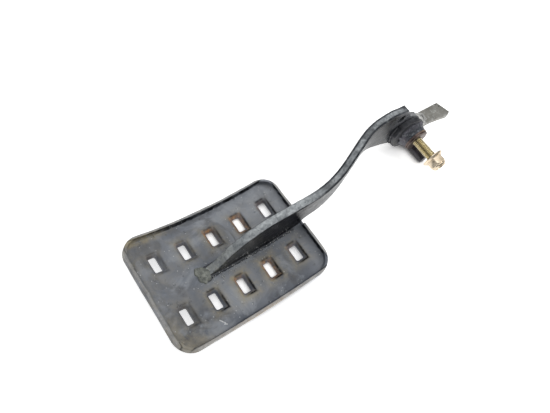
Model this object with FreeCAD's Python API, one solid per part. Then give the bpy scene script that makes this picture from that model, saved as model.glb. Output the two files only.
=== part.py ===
"""Foot brake pedal: slotted foot plate, S-bent arm, pivot tube with its bolt, stop pin and tail lever.

Millimetres, +Z up, with the pedal lying on its tread side. The origin is on the pivot axis, at the outer face
of the outer washer, where the vehicle's bracket seats. +X runs from the foot plate to the tail lever, and the
pivot axis lies along Y, with the bolt's threaded end towards -Y.
"""
import FreeCAD
import Part
import math
import os

V = FreeCAD.Vector
AXIS_X = V(1, 0, 0)
AXIS_Y = V(0, 1, 0)
AXIS_Z = V(0, 0, 1)

# Table that the pedal lies on, below the pivot axis
TABLE_Z = -18.0

# Foot plate: sheet steel curved about a line parallel to Y, hollow side up
SHEET = 2.0
TREAD_RADIUS = 192.0
PLATE_LENGTH = 121.2
PLATE_WIDTH = 81.3
PLATE_CORNER = 13.0
RIM_HEIGHT = 6.2
RIM_BEND = 2.4
PLATE_CENTRE = V(-176.7, -3.2, -14.6)
PLATE_TILT = 6.4
NOTCH_WIDTH = 11.0
NOTCH_REACH = 20.0

# Pressed slots in the foot plate: two rows, each with a collar that stands out on the tread side
SLOT_COLUMNS = 5
SLOT_PITCH = 21.6
SLOT_ROWS = 38.6
SLOT_SHIFT = V(0.5, 0.7, 0)
SLOT_X = 5.4
SLOT_Y = 10.8
SLOT_CORNER = 0.8
COLLAR_HEIGHT = 2.2
COLLAR_WALL = 1.5
COLLAR_DRAFT = 1.2
FUNNEL_X = 10.0
FUNNEL_Y = 15.6
FUNNEL_CORNER = 2.6
FUNNEL_DEPTH = 2.0

# Arm: flat bar on edge, bent sideways into an S; its side view is given by points (x, z)
BAR = 6.0
ARM_Y = PLATE_CENTRE.y
HEAD_Y = 16.15
BEND_START_X = -111.0
BEND_ANGLE = 22.5
BEND_RADIUS_1 = 80.0
BEND_RADIUS_2 = 49.4
NOSE_ARC = -18.2
LEAVE_ARC = 57.4
ARM_NOSE = [(-186.5, -4.6), (-177.0, 5.6), (-166.5, 12.6), (-155.0, 16.6)]
ARM_CROWN = (-143.0, 18.0)
ARM_TOP = [(-112.0, 18.1), (-90.0, 22.4), (-65.0, 27.1), (-42.0, 31.0), (-28.0, 32.9)]
ARM_END = (-14.8, 31.2)
ARM_SHOULDER = (-4.2, 17.0)
ARM_UNDER = [(-13.2, -9.6), (-24.6, -4.3), (-38.3, 1.2), (-50.0, 5.4), (-62.0, 8.0), (-75.0, 8.2),
             (-86.0, 5.4), (-97.0, 0.6), (-111.0, -3.4)]
ARM_LEAVE = (-117.5, -5.2)
HEAD_RADIUS = 13.0
HEAD_ARC_END = -112.0
SPRING_HOLE = (-18.4, 23.6)
SPRING_HOLE_RADIUS = 3.4

# Head plate: small plate on the near face of the arm's head, round the tube, which carries the stop pin
HEAD_PLATE = 4.5
HEAD_PLATE_OUTLINE = [(-10.5, -11.9), (-15.5, -7.5), (-20.2, 5.9), (-17.6, 15.0), (-11.0, 18.2),
                      (3.0, 14.5), (12.4, 6.0), (13.4, -8.0), (10.2, -16.0), (1.2, -16.8)]
HEAD_PLATE_CORNER = 1.6
HEAD_PLATE_Y = HEAD_Y - BAR / 2 - HEAD_PLATE

# Pivot: tube, flanged bushes, sleeve, washers, M8 bolt and flange nut
TUBE_RADIUS = 10.0
TUBE_BORE = 8.0
WASHER = 1.2
WASHER_RADIUS = 9.6
BUSH_FLANGE = 1.2
BUSH_LENGTH = 7.5
BUSH_BORE = 6.05
SLEEVE_RADIUS = 6.0
SLEEVE_BORE = 4.1
END_PLAY = 0.1
TUBE_START_Y = WASHER + END_PLAY + BUSH_FLANGE
TUBE_END_Y = 20.5
SLEEVE_END_Y = TUBE_END_Y + BUSH_FLANGE + END_PLAY
BOLT_RADIUS = 3.95
BOLT_CHAMFER = 0.6
BOLT_END_Y = -26.6
HEAD_FLANGE_RADIUS = 8.2
HEAD_FLANGE = 1.4
HEAD_HEIGHT = 6.4
HEX_FLATS = 12.0
NUT_Y = -17.8
NUT_HEIGHT = 9.6
NUT_FLANGE_RADIUS = 8.5
NUT_FLANGE = 1.4
NUT_COLLAR = 1.8
HEX_CHAMFER = 1.0
HEX_TURN = 12.0

# Stop pin and tail lever
PIN_RADIUS = 4.0
PIN_X = 5.4
PIN_END_Y = -12.2
PIN_CHAMFER = 0.6
TAIL_THICKNESS = 4.0
TAIL_CORNERS = [(9.0, 7.4), (9.0, 20.2), (41.3, 19.8), (44.6, 7.5), (40.4, 5.7)]
TAIL_NEAR_EDGE = [(32.2, 7.0), (23.2, 8.2)]

# Weld beads: plain three-cornered fillets
PLATE_BEAD = 3.6
PLATE_BEAD_ARC = 52.0
TIP_BEAD = 6.5
TIP_ARC = NOSE_ARC - 2.2
TIP_HEIGHT = 4.0
TUBE_BEAD = 3.0
FAR_BEAD = 2.2
TAIL_BEAD = 4.0
TAIL_BEAD_HEIGHT = 5.0
PIN_BEAD = 2.4
EDGE_BEAD = 2.8

# Cutting shapes reach this far each way, past every piece; solids that are fused or cut overlap by OVERLAP
REACH = 60.0
OVERLAP = 1.0


def radial(angle, radius):
    """Point of the foot plate's side view at an angle about its curve's axis, before the plate is tilted."""
    return V(radius * math.sin(angle), 0, TREAD_RADIUS - radius * math.cos(angle))


def on_plate(shape):
    """Move a shape from the foot plate's own frame to its place in the pedal."""
    placement = FreeCAD.Placement(PLATE_CENTRE, FreeCAD.Rotation(AXIS_Y, PLATE_TILT))
    moved = shape.copy()
    moved.Placement = placement.multiply(moved.Placement)
    return moved


def plate_point(point):
    """Place of a point of the foot plate's frame in the pedal's frame."""
    return FreeCAD.Placement(PLATE_CENTRE, FreeCAD.Rotation(AXIS_Y, PLATE_TILT)).multVec(point)


def ring_sector(inner, outer, width, half_angle):
    """Part of a ring about the foot plate's axis: radii inner to outer, centred on the plate."""
    low = TREAD_RADIUS - outer
    high = TREAD_RADIUS - inner
    corners = [V(0, -width / 2, low), V(0, width / 2, low), V(0, width / 2, high), V(0, -width / 2, high)]
    face = Part.Face(Part.makePolygon(corners + corners[:1]))
    axis_point = V(0, 0, TREAD_RADIUS)
    face.rotate(axis_point, AXIS_Y, math.degrees(half_angle))
    return face.revolve(axis_point, AXIS_Y, -2 * math.degrees(half_angle))


def radial_edges(shape, half_angle, width):
    """The four short edges at the corners of a ring sector."""
    found = []
    for edge in shape.Edges:
        middle = edge.CenterOfMass
        angle = math.atan2(middle.x, TREAD_RADIUS - middle.z)
        if abs(abs(angle) - half_angle) < 1e-4 and abs(abs(middle.y) - width / 2) < 1e-4:
            found.append(edge)
    return found


def edges_at_radius(shape, radius):
    """Edges that lie wholly at one distance from the foot plate's axis."""
    found = []
    for edge in shape.Edges:
        first, last = edge.ParameterRange
        points = [edge.valueAt(first + share * (last - first)) for share in (0, 0.5, 1)]
        if all(abs(math.hypot(p.x, TREAD_RADIUS - p.z) - radius) < 1e-3 for p in points):
            found.append(edge)
    return found


def rounded_rectangle(size_x, size_y, corner, z):
    """Closed wire of a rectangle with round corners, level at height z."""
    a = size_x / 2
    b = size_y / 2
    edges = []
    quarter = [(a - corner, b - corner, 0), (-a + corner, b - corner, 90),
               (-a + corner, -b + corner, 180), (a - corner, -b + corner, 270)]
    ends = []
    for x, y, start in quarter:
        arc = Part.Arc(Part.Circle(V(x, y, z), AXIS_Z, corner), math.radians(start), math.radians(start + 90))
        edges.append(arc.toShape())
        ends.append((arc.StartPoint, arc.EndPoint))
    for i in range(4):
        edges.append(Part.makeLine(ends[i][1], ends[(i + 1) % 4][0]))
    return Part.Wire(Part.__sortEdges__(edges))


def loft(lower, upper):
    """Straight-sided solid between two wires."""
    return Part.makeLoft([lower, upper], True, True)


def slot_places():
    """Placements of the slots in the foot plate's frame: local origin on the tread face, local +Z inwards."""
    places = []
    for row in (-1, 1):
        for column in range(SLOT_COLUMNS):
            angle = ((column - (SLOT_COLUMNS - 1) / 2) * SLOT_PITCH + SLOT_SHIFT.x) / TREAD_RADIUS
            point = radial(angle, TREAD_RADIUS) + V(0, row * SLOT_ROWS / 2 + SLOT_SHIFT.y, 0)
            places.append(FreeCAD.Placement(point, FreeCAD.Rotation(AXIS_Y, -math.degrees(angle))))
    return places


def foot_plate():
    """Curved tray of sheet steel, with a rim all round, pressed slots, and a notch where the arm passes."""
    half = PLATE_LENGTH / 2 / TREAD_RADIUS
    tray = ring_sector(TREAD_RADIUS - RIM_HEIGHT, TREAD_RADIUS, PLATE_WIDTH, half)
    tray = tray.makeFillet(PLATE_CORNER, radial_edges(tray, half, PLATE_WIDTH))
    tray = tray.makeFillet(RIM_BEND, edges_at_radius(tray, TREAD_RADIUS))
    inner_half = half - SHEET / TREAD_RADIUS
    inner_width = PLATE_WIDTH - 2 * SHEET
    pocket = ring_sector(TREAD_RADIUS - 3 * RIM_HEIGHT, TREAD_RADIUS - SHEET, inner_width, inner_half)
    pocket = pocket.makeFillet(PLATE_CORNER - SHEET, radial_edges(pocket, inner_half, inner_width))
    pocket = pocket.makeFillet(RIM_BEND - 1, edges_at_radius(pocket, TREAD_RADIUS - SHEET))
    tray = tray.cut(pocket)
    collars = []
    openings = []
    for place in slot_places():
        foot = rounded_rectangle(SLOT_X + 2 * COLLAR_WALL, SLOT_Y + 2 * COLLAR_WALL,
                                 SLOT_CORNER + COLLAR_WALL, -COLLAR_HEIGHT)
        skirt = COLLAR_WALL + COLLAR_DRAFT
        root = rounded_rectangle(SLOT_X + 2 * skirt, SLOT_Y + 2 * skirt, SLOT_CORNER + skirt, SHEET / 2)
        collars.append(loft(foot, root))
        top = SHEET + OVERLAP
        spread = 1 + OVERLAP / FUNNEL_DEPTH
        narrow = rounded_rectangle(SLOT_X, SLOT_Y, SLOT_CORNER, SHEET - FUNNEL_DEPTH)
        wide = rounded_rectangle(SLOT_X + (FUNNEL_X - SLOT_X) * spread,
                                 SLOT_Y + (FUNNEL_Y - SLOT_Y) * spread, FUNNEL_CORNER, top)
        throat = Part.Face(rounded_rectangle(SLOT_X, SLOT_Y, SLOT_CORNER, -COLLAR_HEIGHT - OVERLAP))
        openings.append(loft(narrow, wide).fuse(throat.extrude(V(0, 0, COLLAR_HEIGHT + 2 * OVERLAP))))
        for shape in (collars[-1], openings[-1]):
            shape.Placement = place
    tray = tray.fuse(collars).cut(openings)
    notch = Part.makeBox(NOTCH_REACH, NOTCH_WIDTH, NOTCH_REACH,
                         V(PLATE_LENGTH / 2 - NOTCH_REACH / 2, -NOTCH_WIDTH / 2, 0))
    inside = Part.makeCylinder(TREAD_RADIUS - SHEET, PLATE_WIDTH,
                               V(0, -PLATE_WIDTH / 2, TREAD_RADIUS), AXIS_Y)
    return on_plate(tray.cut(notch.common(inside)).removeSplitter())


def sideways_ribbon():
    """The arm's bar seen from above: straight runs joined by an S, BAR thick, tall enough for any profile."""
    turn = math.radians(BEND_ANGLE)
    rise = HEAD_Y - ARM_Y
    slant = (rise - (BEND_RADIUS_1 + BEND_RADIUS_2) * (1 - math.cos(turn))) / math.sin(turn)

    def side(offset):
        start = V(PLATE_CENTRE.x - REACH, ARM_Y + offset, 0)
        a = V(BEND_START_X, ARM_Y + offset, 0)
        centre_1 = V(BEND_START_X, ARM_Y + BEND_RADIUS_1, 0)
        radius_1 = BEND_RADIUS_1 - offset
        mid_1 = centre_1 + V(radius_1 * math.sin(turn / 2), -radius_1 * math.cos(turn / 2), 0)
        b = centre_1 + V(radius_1 * math.sin(turn), -radius_1 * math.cos(turn), 0)
        c = b + V(slant * math.cos(turn), slant * math.sin(turn), 0)
        radius_2 = BEND_RADIUS_2 + offset
        centre_2 = c + V(radius_2 * math.sin(turn), -radius_2 * math.cos(turn), 0)
        mid_2 = centre_2 + V(-radius_2 * math.sin(turn / 2), radius_2 * math.cos(turn / 2), 0)
        e = V(centre_2.x, centre_2.y + radius_2, 0)
        end = V(REACH, e.y, 0)
        edges = [Part.makeLine(start, a), Part.Arc(a, mid_1, b).toShape(), Part.makeLine(b, c),
                 Part.Arc(c, mid_2, e).toShape(), Part.makeLine(e, end)]
        return edges, start, end

    near, near_start, near_end = side(-BAR / 2)
    far, far_start, far_end = side(BAR / 2)
    caps = [Part.makeLine(near_start, far_start), Part.makeLine(near_end, far_end)]
    wire = Part.Wire(Part.__sortEdges__(near + far + caps))
    ribbon = Part.Face(wire).extrude(V(0, 0, 2 * REACH))
    ribbon.translate(V(0, 0, -REACH))
    return ribbon


def side_points(pairs):
    """Points of the side view from (x, z) pairs."""
    return [V(x, 0, z) for x, z in pairs]


def arm_profile():
    """The arm's side view as a closed wire in the plane Y = 0."""
    inner = TREAD_RADIUS - SHEET
    seat = []
    for arc in (NOSE_ARC, (NOSE_ARC + LEAVE_ARC) / 2, LEAVE_ARC):
        point = plate_point(radial(arc / TREAD_RADIUS, inner))
        seat.append(V(point.x, 0, point.z))
    crown, end, shoulder, leave = side_points([ARM_CROWN, ARM_END, ARM_SHOULDER, ARM_LEAVE])
    front = Part.BSplineCurve()
    front.interpolate(Points=[seat[0]] + side_points(ARM_NOSE) + [crown], InitialTangent=V(0.9, 0, 0.45),
                      FinalTangent=V(1, 0, 0.0))
    top = Part.BSplineCurve()
    top.interpolate(Points=[crown] + side_points(ARM_TOP) + [end], InitialTangent=V(1, 0, 0.0),
                    FinalTangent=V(1, 0, 0.02))
    reach = math.hypot(shoulder.x, shoulder.z)
    touch = math.atan2(shoulder.z, shoulder.x) - math.acos(HEAD_RADIUS / reach)
    turn = math.radians(HEAD_ARC_END)
    touch, middle, under = [V(HEAD_RADIUS * math.cos(angle), 0, HEAD_RADIUS * math.sin(angle))
                            for angle in (touch, (touch + turn) / 2, turn)]
    bottom = Part.BSplineCurve()
    bottom.interpolate([under] + side_points(ARM_UNDER) + [leave])
    edges = [Part.Arc(seat[2], seat[1], seat[0]).toShape(), front.toShape(), top.toShape(),
             Part.makeLine(end, shoulder), Part.makeLine(shoulder, touch),
             Part.Arc(touch, middle, under).toShape(), bottom.toShape(), Part.makeLine(leave, seat[2])]
    return Part.Wire(Part.__sortEdges__(edges))


def along_y(radius, start, end, x=0.0, z=0.0):
    """Cylinder parallel to Y from start to end."""
    return Part.makeCylinder(radius, end - start, V(x, start, z), AXIS_Y)


def bore(radius, x=0.0, z=0.0):
    """Cutting cylinder parallel to Y, longer than any piece."""
    return along_y(radius, -REACH, REACH, x, z)


def prism(pairs, start, height):
    """Prism along +Y over an outline of (x, z) pairs."""
    corners = [V(x, start, z) for x, z in pairs]
    return Part.Face(Part.makePolygon(corners + corners[:1])).extrude(V(0, height, 0))


def arm_bar():
    """S-bent flat bar with a rounded nose, a deeper head, the tube's hole and the spring hole."""
    profile = Part.Face(arm_profile()).extrude(V(0, 2 * REACH, 0))
    profile.translate(V(0, -REACH, 0))
    bar = sideways_ribbon().common(profile)
    return bar.cut([bore(TUBE_RADIUS), bore(SPRING_HOLE_RADIUS, *SPRING_HOLE)])


def head_plate():
    """Small plate against the near face of the arm's head, with the tube through it."""
    plate = prism(HEAD_PLATE_OUTLINE, HEAD_PLATE_Y, HEAD_PLATE)
    upright = [edge for edge in plate.Edges if abs(edge.tangentAt(edge.FirstParameter).y) > 0.99]
    return plate.makeFillet(HEAD_PLATE_CORNER, upright).cut(bore(TUBE_RADIUS))


def pivot_tube():
    """Tube that passes through the head plate and the arm."""
    tube = along_y(TUBE_RADIUS, TUBE_START_Y, TUBE_END_Y)
    return tube.cut(bore(TUBE_BORE))


def bush(outer):
    """Flanged bush pressed into one end of the tube; the outer one is at the bracket's side."""
    if outer:
        flange = along_y(TUBE_RADIUS, TUBE_START_Y - BUSH_FLANGE, TUBE_START_Y)
        body = along_y(TUBE_BORE, TUBE_START_Y, TUBE_START_Y + BUSH_LENGTH)
    else:
        flange = along_y(TUBE_RADIUS, TUBE_END_Y, TUBE_END_Y + BUSH_FLANGE)
        body = along_y(TUBE_BORE, TUBE_END_Y - BUSH_LENGTH, TUBE_END_Y)
    return flange.fuse(body).removeSplitter().cut(bore(BUSH_BORE))


def washer(start):
    """Plain washer from start along +Y."""
    return along_y(WASHER_RADIUS, start, start + WASHER).cut(bore(SLEEVE_BORE))


def spacer_sleeve():
    """Steel sleeve that the bolt clamps between the washers and that the bushes turn on."""
    return along_y(SLEEVE_RADIUS, WASHER, SLEEVE_END_Y).cut(bore(SLEEVE_BORE))


def hexagon(start, height):
    """Hexagonal prism along +Y."""
    corner = HEX_FLATS / math.sqrt(3)
    angles = [math.radians(60 * i + HEX_TURN) for i in range(6)]
    return prism([(corner * math.cos(angle), corner * math.sin(angle)) for angle in angles], start, height)


def turned(points):
    """Solid of revolution about the pivot axis from (radius, y) points."""
    corners = [V(radius, y, 0) for radius, y in points]
    return Part.Face(Part.makePolygon(corners + corners[:1])).revolve(V(0, 0, 0), AXIS_Y, 360)


def pivot_bolt():
    """M8 bolt with a hexagon flange head and a plain shank."""
    seat = SLEEVE_END_Y + WASHER
    shank = turned([(0, BOLT_END_Y), (BOLT_RADIUS - BOLT_CHAMFER, BOLT_END_Y),
                    (BOLT_RADIUS, BOLT_END_Y + BOLT_CHAMFER), (BOLT_RADIUS, seat), (0, seat)])
    corner = HEX_FLATS / math.sqrt(3)
    top = seat + HEAD_HEIGHT
    slope = seat + 1.5 * HEAD_FLANGE
    flange = turned([(0, seat), (HEAD_FLANGE_RADIUS, seat), (HEAD_FLANGE_RADIUS, seat + HEAD_FLANGE / 2),
                     (corner, slope), (0, slope)])
    envelope = turned([(0, seat), (corner, seat), (corner, top - HEX_CHAMFER), (corner - HEX_CHAMFER, top),
                       (0, top)])
    return shank.fuse([flange, hexagon(seat, HEAD_HEIGHT).common(envelope)]).removeSplitter()


def flange_nut():
    """M8 hexagon flange nut with a short locking collar, on the bolt's free end."""
    tip = NUT_Y - NUT_HEIGHT
    corner = HEX_FLATS / math.sqrt(3)
    slope = NUT_Y - 1.5 * NUT_FLANGE
    flange = turned([(0, NUT_Y), (NUT_FLANGE_RADIUS, NUT_Y), (NUT_FLANGE_RADIUS, NUT_Y - NUT_FLANGE / 2),
                     (corner, slope), (0, slope)])
    shoulder = tip + NUT_COLLAR
    envelope = turned([(0, NUT_Y), (corner, NUT_Y), (corner, shoulder + HEX_CHAMFER),
                       (corner - HEX_CHAMFER, shoulder), (0, shoulder)])
    collar_radius = corner - 1.5 * HEX_CHAMFER
    collar = turned([(0, shoulder + OVERLAP), (collar_radius, shoulder + OVERLAP),
                     (collar_radius, tip + HEX_CHAMFER), (collar_radius - HEX_CHAMFER, tip), (0, tip)])
    body = hexagon(shoulder, NUT_Y - shoulder).common(envelope)
    return body.fuse([flange, collar]).removeSplitter().cut(bore(BOLT_RADIUS))


def stop_pin():
    """Round pin under the tube, butted on the head plate, with a chamfered free end."""
    pin = along_y(PIN_RADIUS, PIN_END_Y, HEAD_PLATE_Y, PIN_X, TABLE_Z + PIN_RADIUS)
    rim = [edge for edge in pin.Edges if abs(edge.CenterOfMass.y - PIN_END_Y) < 1e-6 and edge.Closed]
    return pin.makeChamfer(PIN_CHAMFER, rim)


def tail_lever():
    """Flat lever that runs back from the arm's head, level with the pivot axis."""
    low = -TAIL_THICKNESS / 2
    corners = [V(x, y, low) for x, y in TAIL_CORNERS]
    near = Part.BSplineCurve()
    near.interpolate([corners[-1]] + [V(x, y, low) for x, y in TAIL_NEAR_EDGE] + [corners[0]])
    edges = [Part.makeLine(corners[i], corners[i + 1]) for i in range(len(corners) - 1)]
    outline = Part.Wire(Part.__sortEdges__(edges + [near.toShape()]))
    return Part.Face(outline).extrude(V(0, 0, TAIL_THICKNESS))


def weld_plate(side):
    """Bead between the foot plate and the arm: side -1 for the near face of the arm, 1 for the far face."""
    face_y = side * BAR / 2
    corners = [V(0, face_y, SHEET), V(0, face_y + side * PLATE_BEAD, SHEET), V(0, face_y, SHEET + PLATE_BEAD)]
    face = Part.Face(Part.makePolygon(corners + corners[:1]))
    axis_point = V(0, 0, TREAD_RADIUS)
    first = math.degrees(NOSE_ARC / TREAD_RADIUS)
    last = math.degrees(PLATE_BEAD_ARC / TREAD_RADIUS)
    face.rotate(axis_point, AXIS_Y, -first)
    return on_plate(face.revolve(axis_point, AXIS_Y, first - last))


def weld_arm_tip():
    """Mound of weld on the foot plate round the arm's nose."""
    angle = TIP_ARC / TREAD_RADIUS
    mound = Part.makeCone(TIP_BEAD, TIP_BEAD / 2, TIP_HEIGHT)
    mound.Placement = FreeCAD.Placement(radial(angle, TREAD_RADIUS - SHEET / 2),
                                        FreeCAD.Rotation(AXIS_Y, -math.degrees(angle)))
    return on_plate(mound)


def ring_bead(radius, width, height, start, x=0.0, z=0.0):
    """Fillet ring round a cylinder of the given radius, on a face at Y = start; height is signed along Y."""
    ring = turned([(radius, start), (radius + width, start), (radius, start + height)])
    ring.translate(V(x, 0, z))
    return ring


def weld_pin():
    """Bead round the stop pin, kept within the head plate's outline."""
    ring = ring_bead(PIN_RADIUS, PIN_BEAD, -PIN_BEAD, HEAD_PLATE_Y, PIN_X, TABLE_Z + PIN_RADIUS)
    return ring.common(prism(HEAD_PLATE_OUTLINE, HEAD_PLATE_Y - PIN_BEAD, PIN_BEAD))


def weld_tail(side):
    """Bead across the root of the tail lever: side 1 for its top face, -1 for its underside."""
    face_z = side * TAIL_THICKNESS / 2
    root = HEAD_RADIUS - OVERLAP
    tip = HEAD_RADIUS + TAIL_BEAD
    outline = [(root, face_z), (tip, face_z), (root, face_z + side * TAIL_BEAD_HEIGHT)]
    return prism(outline, HEAD_PLATE_Y, HEAD_Y + BAR / 2 - HEAD_PLATE_Y)


def weld_head_plate():
    """Bead along the head plate's left edge, on the arm's near face."""
    seat_y = HEAD_PLATE_Y + HEAD_PLATE
    edge = HEAD_PLATE_OUTLINE[1:4]
    inward = [(x + EDGE_BEAD, z) for x, z in reversed(edge)]
    wide = [V(x, seat_y, z) for x, z in [(x - EDGE_BEAD, z) for x, z in edge] + inward]
    slim = [V(x, seat_y - EDGE_BEAD, z) for x, z in edge + inward]
    return loft(Part.makePolygon(wide + wide[:1]), Part.makePolygon(slim + slim[:1]))


def main():
    os.makedirs("parts", exist_ok=True)
    nodes = {
        "foot_plate": foot_plate(),
        "arm_bar": arm_bar(),
        "head_plate": head_plate(),
        "pivot_tube": pivot_tube(),
        "bush_outer": bush(True),
        "bush_inner": bush(False),
        "washer_outer": washer(0.0),
        "washer_inner": washer(SLEEVE_END_Y),
        "spacer_sleeve": spacer_sleeve(),
        "pivot_bolt": pivot_bolt(),
        "flange_nut": flange_nut(),
        "stop_pin": stop_pin(),
    }
    # Each of these is cut by the solid pieces that it lies against, so that they meet face to face
    core = along_y(TUBE_RADIUS, TUBE_START_Y, TUBE_END_Y)
    later = [
        ("tail_lever", tail_lever()),
        ("weld_plate_near", weld_plate(-1)),
        ("weld_plate_far", weld_plate(1)),
        ("weld_arm_tip", weld_arm_tip()),
        ("weld_tube_near", ring_bead(TUBE_RADIUS, TUBE_BEAD, -TUBE_BEAD, HEAD_PLATE_Y)),
        ("weld_tube_far", ring_bead(TUBE_RADIUS, FAR_BEAD, TUBE_END_Y - HEAD_Y - BAR / 2, HEAD_Y + BAR / 2)),
        ("weld_pin", weld_pin()),
        ("weld_tail_top", weld_tail(1)),
        ("weld_tail_under", weld_tail(-1)),
        ("weld_head_plate", weld_head_plate()),
    ]
    for name, shape in later:
        solids = [solid for other, solid in nodes.items() if other != "pivot_tube"]
        nodes[name] = shape.cut([core] + solids)
    for name, shape in nodes.items():
        print(name, shape.ShapeType, len(shape.Solids), round(shape.Volume, 1), shape.isValid())
        shape.exportStep("parts/" + name + ".step")


main()
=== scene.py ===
"""Looks of the foot brake pedal: worn enamel, rust, dust, lumpy welds, a threaded bolt, soft studio light.

Metres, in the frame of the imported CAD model: origin on the pivot axis, pedal lying tread side down.
"""
import math
import random

import bmesh
import bpy
import numpy as np
from mathutils import Matrix, Vector, noise


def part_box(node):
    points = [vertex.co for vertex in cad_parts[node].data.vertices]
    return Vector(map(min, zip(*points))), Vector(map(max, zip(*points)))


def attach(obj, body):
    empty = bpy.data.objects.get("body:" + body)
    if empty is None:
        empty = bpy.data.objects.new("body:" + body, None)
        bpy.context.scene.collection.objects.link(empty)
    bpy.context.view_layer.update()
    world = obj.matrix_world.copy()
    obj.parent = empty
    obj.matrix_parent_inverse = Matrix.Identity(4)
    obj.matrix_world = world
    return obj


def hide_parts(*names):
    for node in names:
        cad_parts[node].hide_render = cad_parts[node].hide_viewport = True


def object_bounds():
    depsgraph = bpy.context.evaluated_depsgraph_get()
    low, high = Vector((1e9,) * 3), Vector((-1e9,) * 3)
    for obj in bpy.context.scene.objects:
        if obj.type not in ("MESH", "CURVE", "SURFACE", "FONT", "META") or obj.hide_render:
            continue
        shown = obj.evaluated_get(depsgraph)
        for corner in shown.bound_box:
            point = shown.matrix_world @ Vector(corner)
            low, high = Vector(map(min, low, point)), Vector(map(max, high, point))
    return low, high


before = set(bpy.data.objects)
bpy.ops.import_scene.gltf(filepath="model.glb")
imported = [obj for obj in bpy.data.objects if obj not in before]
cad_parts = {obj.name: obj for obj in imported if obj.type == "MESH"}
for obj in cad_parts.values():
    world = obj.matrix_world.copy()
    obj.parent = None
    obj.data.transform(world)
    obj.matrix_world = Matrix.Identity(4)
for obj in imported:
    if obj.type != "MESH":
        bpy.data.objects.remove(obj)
CAD_BOX = [list(corner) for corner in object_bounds()]

MM = 0.001
TABLE_Z = -18.0 * MM
PEDAL = "pedal"
HARDWARE = "pivot_hardware"

# Studio: reach of the two shades under the pedal, floor, world, and lights by name, offset, size and power
CONTACT_REACH = 7.0 * MM
SHADE_REACH = 26.0 * MM
OCCLUSION_SAMPLES = 8
FLOOR_SIZE = 8.0
FLOOR_CENTRE = (-0.1, 0.0, TABLE_Z - 0.05 * MM)
WORLD_STRENGTH = 0.26
LIGHT_TARGET = Vector((-0.12, 0.0, 0.0))
LIGHTS = (("key", (0.50, -0.28, 0.62), 0.45, 2.0), ("top", (-0.02, 0.22, 1.0), 1.3, 5.2))

# Camera: place, axes, lens in millimetres and a shift of half a pixel of the frame's width
CAMERA_PLACE = (-0.25211, -0.08204, 0.27595)
CAMERA_RIGHT = (0.805508, -0.569539, 0.163656)
CAMERA_UP = (0.451481, 0.768716, 0.453034)
CAMERA_FORWARD = (0.383826, 0.291035, -0.876343)
CAMERA_SENSOR = 36.0
CAMERA_LENS = 30.205
CAMERA_SHIFT = 0.5 / 550

# Mesh work
WELD_DISTANCE = 2e-6
FLAT_ANGLE = math.radians(1.0)
SHARP_ANGLE = math.radians(35)

# Foot plate, as in the CAD source
PLATE_CENTRE = Vector((-176.7, -3.2, -14.6)) * MM
PLATE_TILT = math.radians(6.4)
TREAD_RADIUS = 192.0 * MM
SHEET = 2.0 * MM
RIM_HEIGHT = 6.2 * MM
PLATE_LENGTH = 121.2 * MM
PLATE_WIDTH = 81.3 * MM
SLOT_PITCH = 21.6 * MM
SLOT_ROWS = 38.6 * MM
SLOT_SHIFT = (0.5 * MM, 0.7 * MM)
SLOT_SIZE = (5.4 * MM, 10.8 * MM)
FUNNEL_SIZE = (10.0 * MM, 15.6 * MM)
ARM_Y = PLATE_CENTRE.y
BAR = 6.0 * MM
NOSE_ARC = -18.2 * MM
BLOB_ARC = NOSE_ARC - 2.2 * MM + 1.6 * MM
BEAD_END_ARC = 52.0 * MM

# Arm seen from above, as in the CAD source
HEAD_Y = 16.15 * MM
BEND_START_X = -111.0 * MM
BEND_ANGLE = math.radians(22.5)
BEND_RADIUS_1 = 80.0 * MM
BEND_RADIUS_2 = 49.4 * MM
SPRING_HOLE = (-18.4 * MM, 23.6 * MM)
SPRING_HOLE_RADIUS = 3.4 * MM

# Pivot, as in the CAD source
HEAD_PLATE_Y = HEAD_Y - 7.5 * MM
HEAD_FAR_Y = HEAD_Y + BAR / 2
TUBE_RADIUS = 10.0 * MM
PIN_X = 5.4 * MM
PIN_Z = -14.0 * MM
BOLT_RADIUS = 3.95 * MM
THREAD_DEPTH = 0.62 * MM
THREAD_PITCH = 1.25 * MM
BOLT_HEAD_HEIGHT = 6.4 * MM
THREAD_END_Y = 0.5 * MM


# Linear colours of the foot plate's enamel and of what lies on it
PLATE_DEEP_BLUE = (0.072, 0.088, 0.116)
PLATE_PALE_BLUE = (0.156, 0.175, 0.214)
PLATE_DUST_DARK = (0.105, 0.100, 0.090)
PLATE_DUST_LIGHT = (0.310, 0.290, 0.245)
PLATE_CLOUD = (0.370, 0.395, 0.430)
PLATE_GLOOM = (0.038, 0.044, 0.058)
# Painted light: broad lightening over the plate's middle and far side and on the funnel walls
PLATE_PAINTED_LIGHT = (0.330, 0.355, 0.395)
PLATE_TAN = (0.361, 0.312, 0.205)
PLATE_STREAK = (0.332, 0.342, 0.351)
PLATE_DARK_SPOT = (0.023, 0.026, 0.029)
RUST_BROWN = (0.360, 0.155, 0.055)
RUST_ORANGE = (0.640, 0.390, 0.190)
# Rubbed rim top, lightened also as a painted highlight
RIM_RUBBED_AND_PAINTED_HIGHLIGHT = (0.430, 0.420, 0.400)
# Painted shade on the inner wall of the rim
RIM_WALL_PAINTED_SHADE = (0.006, 0.007, 0.009)
PLATE_SPECK = (0.625, 0.644, 0.644)
# Painted shade along the slot funnels' edges and round the near foot of the weld blob
SLOT_EDGE_PAINTED_SHADE = (0.007, 0.008, 0.010)
SCRATCH_BRIGHT = (0.820, 0.839, 0.839)
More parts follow.
